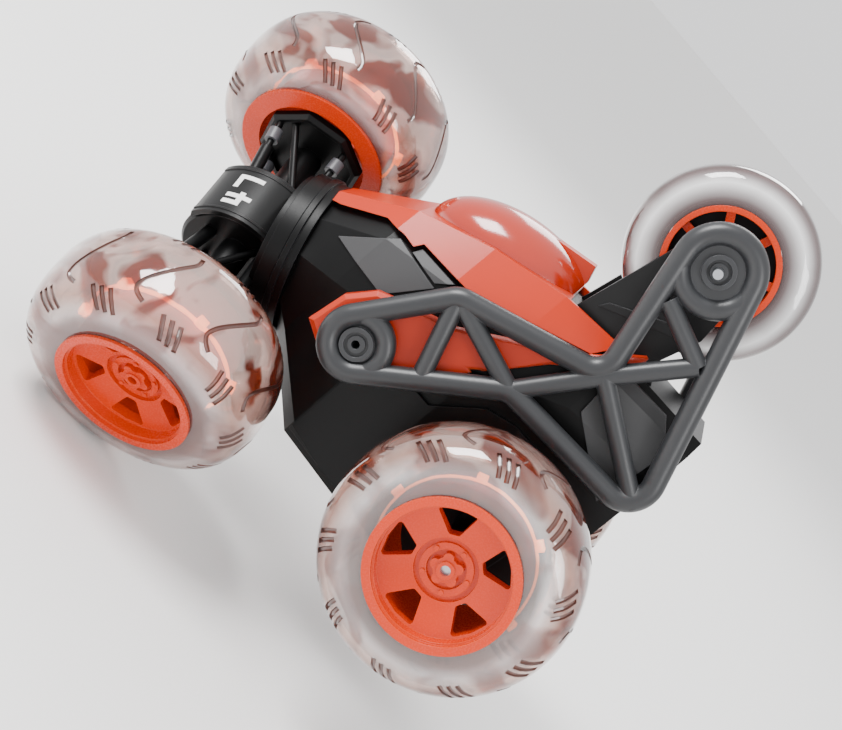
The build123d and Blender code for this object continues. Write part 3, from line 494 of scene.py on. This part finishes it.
def tyre_outline(crown, half, side, wall, bead_out, bead_in, steps=OUTLINE_STEPS):
    """The closed loop of the section, out along the outer wall and back along the inner wall."""
    leans = [math.radians(-90 + 180 * i / steps) for i in range(steps + 1)]
    back = [math.radians(90 - 180 * i / steps) for i in range(steps + 1)]
    outer = [section_point(lean, crown, half, side) for lean in leans]
    inner = [section_point(lean, crown - wall, half - wall, side) for lean in back]
    beads = [(bead_out, half), (bead_out, half - wall)]
    return outer + beads + inner + [(bead_in, wall - half), (bead_in, -half)]


def spun_tyre(name, outline, turns):
    """Spin a closed outline of (radius, width) in millimetres about Y into a solid ring."""
    clear_selection()
    bpy.ops.mesh.primitive_circle_add(vertices=len(outline), radius=CROWN * MM)
    piece = bpy.context.object
    piece.name = piece.data.name = name
    for vertex, (radius, width) in zip(piece.data.vertices, outline):
        vertex.co = (radius * MM, width * MM, 0)
    bpy.ops.object.mode_set(mode="EDIT")
    bpy.ops.mesh.select_all(action="SELECT")
    bpy.ops.mesh.spin(steps=turns, angle=2 * math.pi, center=(0, 0, 0), axis=(0, 1, 0))
    bpy.ops.mesh.select_all(action="SELECT")
    bpy.ops.mesh.remove_doubles(threshold=WELD)
    bpy.ops.mesh.normals_make_consistent(inside=False)
    bpy.ops.object.mode_set(mode="OBJECT")
    return piece


# %% Groove cutters
GROUPS = 10
GROOVE_RADIUS = 0.75
NOTCH_SPACING = 4.6           # degrees of turn between the notches of a group
# Each path is (turn about the axle, angle round the section from the crown), in degrees.
NOTCH = [(-2.6, 36), (-1.0, 46), (0.8, 56), (2.4, 68)]
SWEEP = [(18.0, 36.0), (11.5, 28.0), (13.0, 14.0), (18.0, 2.0), (24.5, -8.0), (28.5, -19.0),
         (27.5, -29.0)]


def groove_tube(name, path):
    """A closed tube along (turn, section angle) pairs in degrees, just sunk in the tyre's surface."""
    clear_selection()
    bpy.ops.curve.primitive_nurbs_path_add()
    tube = bpy.context.object
    tube.name = name
    tube.data.splines.clear()
    spline = tube.data.splines.new("NURBS")
    spline.points.add(len(path) - 1)
    for point, (turn, lean) in zip(spline.points, path):
        radius, width = section_point(math.radians(lean), CROWN, HALF_WIDTH, SIDE_RADIUS)
        turn = math.radians(turn)
        point.co = (radius * math.cos(turn) * MM, width * MM, radius * math.sin(turn) * MM, 1)
    spline.order_u = 3
    spline.use_endpoint_u = True
    spline.resolution_u = 5
    tube.data.bevel_depth = GROOVE_RADIUS * MM
    tube.data.bevel_resolution = 2
    tube.data.use_fill_caps = True
    tube.data.dimensions = "3D"
    bpy.ops.object.convert(target="MESH")
    return bpy.context.object


def around(tube, count):
    """Copies of a cutter, turned evenly about Y, as a list with the first."""
    copies = [tube]
    for n in range(1, count):
        only(tube)
        bpy.ops.object.duplicate()
        copy = bpy.context.object
        copy.data.transform(Matrix.Rotation(2 * math.pi * n / count, 4, "Y"))
        copies.append(copy)
    return copies


cutters = []
step = 360 / GROUPS
for side in (1, -1):
    offset = 0 if side == 1 else step / 2
    for mark in (-1, 0, 1):
        middle = offset + NOTCH_SPACING * mark
        path = [(middle + turn, side * lean) for turn, lean in NOTCH]
        cutters += around(groove_tube("notch_cutter", path), GROUPS)
cutters += around(groove_tube("sweep_cutter", SWEEP), GROUPS)
clear_selection()
for cutter in cutters:
    cutter.select_set(True)
bpy.context.view_layer.objects.active = cutters[0]
bpy.ops.object.join()
cutter = bpy.context.object
bpy.ops.object.mode_set(mode="EDIT")
bpy.ops.mesh.select_all(action="SELECT")
bpy.ops.mesh.remove_doubles(threshold=WELD)           # sews each tube's end caps to its wall
bpy.ops.mesh.normals_make_consistent(inside=False)
bpy.ops.object.mode_set(mode="OBJECT")
print(len(cutter.data.polygons), "cutter faces")

# %% Cut one tyre
TRIES = 3
LEAST_SKIN = 0.85             # share of the outline's area that a sound cut leaves
outline = tyre_outline(CROWN, HALF_WIDTH, SIDE_RADIUS, WALL, BEAD_OUT, BEAD_IN)
master = spun_tyre("tyre_master", outline, TYRE_TURNS)
for piece in (master, cutter):
    piece.data.materials.clear()
    piece.data.materials.append(tyre_pvc)
    piece.data.materials.append(groove_pvc)
for face in cutter.data.polygons:
    face.material_index = 1


def skin_area(piece):
    """Area of the faces that the grooves leave, in square metres."""
    return sum(face.area for face in piece.data.polygons if face.material_index == 0)


whole = master.data.copy()
whole_area = skin_area(master)
only(master)
# A cut that loses the skin is thrown away and made again. If every try loses it, the tyre stays
# plain, and the share printed below is 1.0.
for attempt in range(TRIES):
    cut = master.modifiers.new("grooves", "BOOLEAN")
    cut.operation = "DIFFERENCE"
    cut.solver = "EXACT"
    cut.object = cutter
    bpy.ops.object.modifier_apply(modifier="grooves")
    if skin_area(master) > LEAST_SKIN * whole_area:
        break
    master.data = whole.copy()
print("skin left after the cut:", round(skin_area(master) / whole_area, 3))
bpy.ops.object.shade_smooth_by_angle(angle=SMOOTH_UNDER)
bpy.data.objects.remove(cutter)
grade_section(master, BEAD_OUT, CROWN)
print(len(master.data.polygons), "faces in one tyre")


# %% [markdown]
# The finished tyre is copied to each wheel, and each copy gets its own mesh. The rear wheels stand square
# to the car. The front pair sits on the twisted module, so the module's own directions, taken from the
# twist joint's axis and the spin axis of the front left wheel, place it. The right-hand ones are mirrored.

# %% Place the tyres
def frame_matrix(origin, left, ahead):
    """A matrix whose X points ahead and Y left, with its origin in metres."""
    left = Vector(left).normalized()
    ahead = Vector(ahead).normalized()
    above = ahead.cross(left)
    turn = Matrix((ahead, left, above)).transposed().to_4x4()
    return Matrix.Translation(origin) @ turn


def joint_point(name):
    """Where a joint sits, in metres."""
    return Vector(joints[name]["pos_m"])


REAR_FRAME = frame_matrix(joint_point("wheel_rear_left_spin"), (0, 1, 0), (1, 0, 0))
MODULE_FRAME = frame_matrix(joint_point("front_twist"), joints["wheel_front_left_spin"]["axis"],
                            joints["front_twist"]["axis"])
MIRROR = Matrix.Diagonal((1, -1, 1, 1))


def placed_copy(source, name, matrix):
    """A copy with its own mesh, moved by a matrix that may mirror it."""
    only(source)
    bpy.ops.object.duplicate()
    piece = bpy.context.object
    piece.name = piece.data.name = name
    piece.data.transform(matrix)
    if matrix.determinant() < 0:
        piece.data.flip_normals()
    return piece


for end, place in zip(ENDS, (MODULE_FRAME, REAR_FRAME)):
    for side in SIDES:
        outward = Matrix.Translation((0, WHEEL_Y * MM, 0))
        matrix = place @ (MIRROR @ outward if side == "right" else outward)
        tyre = placed_copy(master, f"clear_tyre_{end}_{side}", matrix)
        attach(tyre, f"wheel_{end}_{side}")
        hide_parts(f"tyre_{end}_{side}")
bpy.data.objects.remove(master)

# %% [markdown]
# The tail wheel has a smaller, smooth tyre. It is spun from the same kind of outline, and a fine parting
# line is raised round its middle, where the two halves of its mould met.

# %% Tail tyre
TAIL_CROWN, TAIL_HALF, TAIL_SIDE, TAIL_WALL = 29.2, 9.0, 17.8, 1.8
PARTING_RIDGE = 0.2
tail_line = tyre_outline(TAIL_CROWN, TAIL_HALF, TAIL_SIDE, TAIL_WALL, TAIL_SIDE, TAIL_SIDE)
middle = max(range(len(tail_line)), key=lambda i: tail_line[i][0])
tail_line[middle] = (TAIL_CROWN + PARTING_RIDGE, 0.0)
tail_tyre = spun_tyre("clear_tail_tyre", tail_line, TAIL_TURNS)
tail_tyre.data.materials.append(tail_pvc)
grade_section(tail_tyre, TAIL_SIDE, TAIL_CROWN)
tail_tyre.data.transform(Matrix.Translation(joint_point("tail_wheel_spin")))
only(tail_tyre)
bpy.ops.object.shade_smooth_by_angle(angle=SMOOTH_UNDER)
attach(tail_tyre, "tail_wheel")
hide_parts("tail_tyre")
print(len(tail_tyre.data.polygons), "faces in the tail tyre")

# %% [markdown]
# ## Race number
# A race number is pad-printed in white on the curved cover of the front module. Each stroke of its blocky
# figures is a thin curved bar, spun about the same line that the cover is round, so it lies on it.

# %% Race number
COVER_RADIUS = 20.2
COVER_AXIS_X, COVER_AXIS_Z = 1.0, -5.0
INK, SINK = 0.12, 0.05        # how far a stroke stands out of the cover, and reaches into it
STROKE_STEPS = 8
DIGIT_TALL, DIGIT_WIDE, STROKE, DIGIT_GAP = 8.4, 6.0, 1.7, 1.6
NUMBER_LEAN = 12.0            # degrees the number's middle lies ahead of the cover's crown
# Each figure is a list of strokes: how far right, how low, how wide and how tall.
FOUR = [(0, 3.9, STROKE, 4.5), (0, 2.6, DIGIT_WIDE, STROKE), (3.0, 0, STROKE, DIGIT_TALL)]
SEVEN = [(0, DIGIT_TALL - STROKE, DIGIT_WIDE, STROKE),
         (DIGIT_WIDE - STROKE, 0, STROKE, DIGIT_TALL - STROKE)]

number_ink, tree = empty_material("white_ink_pad_printed")
place = add_node(tree, "ShaderNodeTexCoord").outputs["Object"]
speck = add_node(tree, "ShaderNodeTexNoise", {"Vector": place, "Scale": 1500.0})
tone = add_node(tree, "ShaderNodeMix", {
    0: speck.outputs["Fac"], 6: hex_colour("f4f4f2"), 7: hex_colour("e6e6e4")}, data_type="RGBA")
shader = add_node(tree, "ShaderNodeBsdfPrincipled", {"Base Color": tone.outputs[2], "Roughness": 0.4})
add_node(tree, "ShaderNodeOutputMaterial", {"Surface": shader.outputs[0]})


def ink_bar(right, low, wide, tall):
    """One stroke: a thin upright rectangle spun over its height, measured along the cover."""
    inner, outer = COVER_RADIUS - SINK, COVER_RADIUS + INK
    start = math.radians(NUMBER_LEAN) + (low - DIGIT_TALL / 2) / COVER_RADIUS
    clear_selection()
    bpy.ops.mesh.primitive_plane_add(size=1)
    bar = bpy.context.object
    corners = [(-right, inner), (-right - wide, inner), (-right, outer), (-right - wide, outer)]
    for vertex, (y, radius) in zip(bar.data.vertices, corners):
        vertex.co = (radius * math.sin(start) * MM, y * MM, radius * math.cos(start) * MM)
    bpy.ops.object.mode_set(mode="EDIT")
    bpy.ops.mesh.select_all(action="SELECT")
    bpy.ops.mesh.spin(steps=STROKE_STEPS, angle=-tall / COVER_RADIUS, center=(0, 0, 0),
                      axis=(0, 1, 0))
    bpy.ops.mesh.select_all(action="SELECT")
    bpy.ops.mesh.normals_make_consistent(inside=False)
    bpy.ops.object.mode_set(mode="OBJECT")
    return bar


span = 2 * DIGIT_WIDE + DIGIT_GAP
bars = []
for index, digit in enumerate((FOUR, SEVEN)):
    shift = -span / 2 + index * (DIGIT_WIDE + DIGIT_GAP)
    bars += [ink_bar(shift + right, low, wide, tall) for right, low, wide, tall in digit]
clear_selection()
for bar in bars:
    bar.select_set(True)
bpy.context.view_layer.objects.active = bars[0]
bpy.ops.object.join()
number = bpy.context.object
number.name = number.data.name = "race_number"
number.data.transform(MODULE_FRAME @ Matrix.Translation((COVER_AXIS_X * MM, 0, COVER_AXIS_Z * MM)))
number.data.materials.clear()
number.data.materials.append(number_ink)
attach(number, "front_module")
print(len(number.data.polygons), "faces in the race number")

# %% [markdown]
# The last cell clears the selection and hands the scene over.

# %% Finish
clear_selection()
